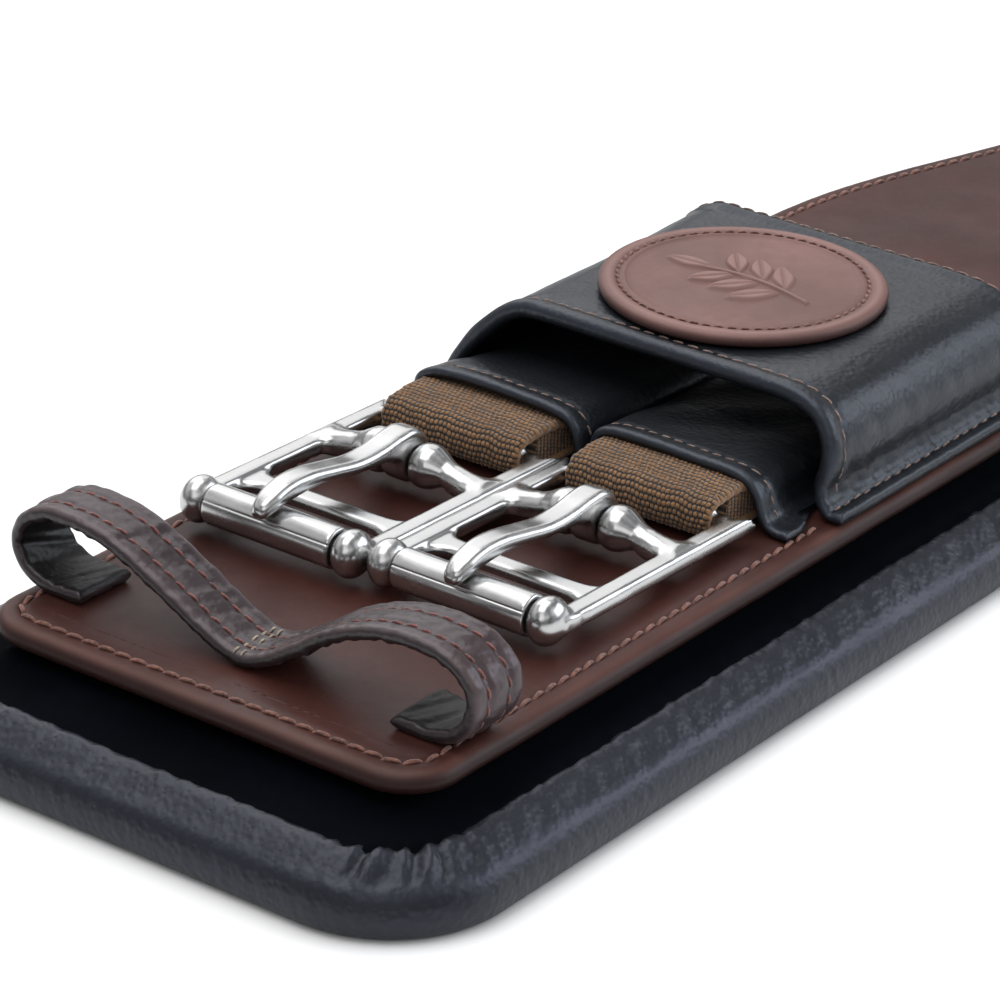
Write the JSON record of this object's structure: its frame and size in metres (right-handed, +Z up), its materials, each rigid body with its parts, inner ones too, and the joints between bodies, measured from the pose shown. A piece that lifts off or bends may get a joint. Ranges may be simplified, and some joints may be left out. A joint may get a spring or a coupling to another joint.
{
  "type": "saddle girth",
  "caption": "Padded leather saddle girth with elastic-mounted roller buckles, looped keeper straps and an arched billet tunnel with a round patch at each end.",
  "frame": {"origin": "centre of the underside, on the surface it lies on", "axes": "+X along the girth's length, +Y across its width, +Z up through the panel towards the buckles"},
  "size_m": [0.802, 0.1314, 0.0465],
  "materials": {
    "panel_leather": "smooth brown bridle leather with a burnished edge",
    "liner_leather": "soft pebbled charcoal leather",
    "black_leather": "soft black leather with a dull shine",
    "keeper_leather": "folded dark grey-brown leather",
    "patch_leather": "embossed brown leather",
    "elastic_weave": "coarse woven elastic",
    "web": "flat woven nylon",
    "foam": "closed-cell foam",
    "polished_steel": "mirror-polished stainless steel"
  },
  "bodies": {
    "girth": {"liner_cover": "liner_leather", "foam_core": "foam", "reinforcing_web": "web", "top_panel": "panel_leather", "nearside_keeper_strap": "keeper_leather", "nearside_elastic_cover": "black_leather", "nearside_billet_tunnel": "black_leather", "nearside_tunnel_patch": "patch_leather", "offside_keeper_strap": "keeper_leather", "offside_elastic_cover": "black_leather", "offside_billet_tunnel": "black_leather", "offside_tunnel_patch": "patch_leather"},
    "nearside_front_elastic_loop": {"nearside_front_elastic": "elastic_weave"},
    "nearside_front_buckle": {"nearside_front_buckle_frame": "polished_steel"},
    "nearside_front_prong": {"nearside_front_tongue": "polished_steel"},
    "nearside_front_roller_tube": {"nearside_front_roller": "polished_steel"},
    "nearside_rear_elastic_loop": {"nearside_rear_elastic": "elastic_weave"},
    "nearside_rear_buckle": {"nearside_rear_buckle_frame": "polished_steel"},
    "nearside_rear_prong": {"nearside_rear_tongue": "polished_steel"},
    "nearside_rear_roller_tube": {"nearside_rear_roller": "polished_steel"},
    "offside_front_elastic_loop": {"offside_front_elastic": "elastic_weave"},
    "offside_front_buckle": {"offside_front_buckle_frame": "polished_steel"},
    "offside_front_prong": {"offside_front_tongue": "polished_steel"},
    "offside_front_roller_tube": {"offside_front_roller": "polished_steel"},
    "offside_rear_elastic_loop": {"offside_rear_elastic": "elastic_weave"},
    "offside_rear_buckle": {"offside_rear_buckle_frame": "polished_steel"},
    "offside_rear_prong": {"offside_rear_tongue": "polished_steel"},
    "offside_rear_roller_tube": {"offside_rear_roller": "polished_steel"}
  },
  "joints": [
    {"name": "nearside_front_elastic_stretch", "type": "slide", "parent": "girth", "child": "nearside_front_elastic_loop", "axis": [-1, 0, 0], "range_m": [0, 0.015], "stiffness_N_per_m": 4000},
    {"name": "nearside_front_buckle_lift", "type": "hinge", "parent": "nearside_front_elastic_loop", "child": "nearside_front_buckle", "pos_m": [-0.2732, 0.0234, 0.0262], "axis": [0, 1, 0], "range_deg": [0, 60]},
    {"name": "nearside_front_tongue_swing", "type": "hinge", "parent": "nearside_front_buckle", "child": "nearside_front_prong", "pos_m": [-0.2902, 0.0234, 0.0273], "axis": [0, 1, 0], "range_deg": [0, 90]},
    {"name": "nearside_front_roller_turn", "type": "hinge", "parent": "nearside_front_buckle", "child": "nearside_front_roller_tube", "pos_m": [-0.3282, 0.0234, 0.0268], "axis": [0, 1, 0], "continuous": true},
    {"name": "nearside_rear_elastic_stretch", "type": "slide", "parent": "girth", "child": "nearside_rear_elastic_loop", "axis": [-1, 0, 0], "range_m": [0, 0.015], "stiffness_N_per_m": 4000},
    {"name": "nearside_rear_buckle_lift", "type": "hinge", "parent": "nearside_rear_elastic_loop", "child": "nearside_rear_buckle", "pos_m": [-0.2718, -0.0193, 0.0262], "axis": [0, 1, 0], "range_deg": [0, 60]},
    {"name": "nearside_rear_tongue_swing", "type": "hinge", "parent": "nearside_rear_buckle", "child": "nearside_rear_prong", "pos_m": [-0.2888, -0.0193, 0.0273], "axis": [0, 1, 0], "range_deg": [0, 90]},
    {"name": "nearside_rear_roller_turn", "type": "hinge", "parent": "nearside_rear_buckle", "child": "nearside_rear_roller_tube", "pos_m": [-0.3268, -0.0193, 0.0268], "axis": [0, 1, 0], "continuous": true},
    {"name": "offside_front_elastic_stretch", "type": "slide", "parent": "girth", "child": "offside_front_elastic_loop", "axis": [1, 0, 0], "range_m": [0, 0.015], "stiffness_N_per_m": 4000},
    {"name": "offside_front_buckle_lift", "type": "hinge", "parent": "offside_front_elastic_loop", "child": "offside_front_buckle", "pos_m": [0.2732, -0.0234, 0.0262], "axis": [0, -1, 0], "range_deg": [0, 60]},
    {"name": "offside_front_tongue_swing", "type": "hinge", "parent": "offside_front_buckle", "child": "offside_front_prong", "pos_m": [0.2902, -0.0234, 0.0273], "axis": [0, -1, 0], "range_deg": [0, 90]},
    {"name": "offside_front_roller_turn", "type": "hinge", "parent": "offside_front_buckle", "child": "offside_front_roller_tube", "pos_m": [0.3282, -0.0234, 0.0268], "axis": [0, -1, 0], "continuous": true},
    {"name": "offside_rear_elastic_stretch", "type": "slide", "parent": "girth", "child": "offside_rear_elastic_loop", "axis": [1, 0, 0], "range_m": [0, 0.015], "stiffness_N_per_m": 4000},
    {"name": "offside_rear_buckle_lift", "type": "hinge", "parent": "offside_rear_elastic_loop", "child": "offside_rear_buckle", "pos_m": [0.2718, 0.0193, 0.0262], "axis": [0, -1, 0], "range_deg": [0, 60]},
    {"name": "offside_rear_tongue_swing", "type": "hinge", "parent": "offside_rear_buckle", "child": "offside_rear_prong", "pos_m": [0.2888, 0.0193, 0.0273], "axis": [0, -1, 0], "range_deg": [0, 90]},
    {"name": "offside_rear_roller_turn", "type": "hinge", "parent": "offside_rear_buckle", "child": "offside_rear_roller_tube", "pos_m": [0.3268, 0.0193, 0.0268], "axis": [0, -1, 0], "continuous": true}
  ]
}
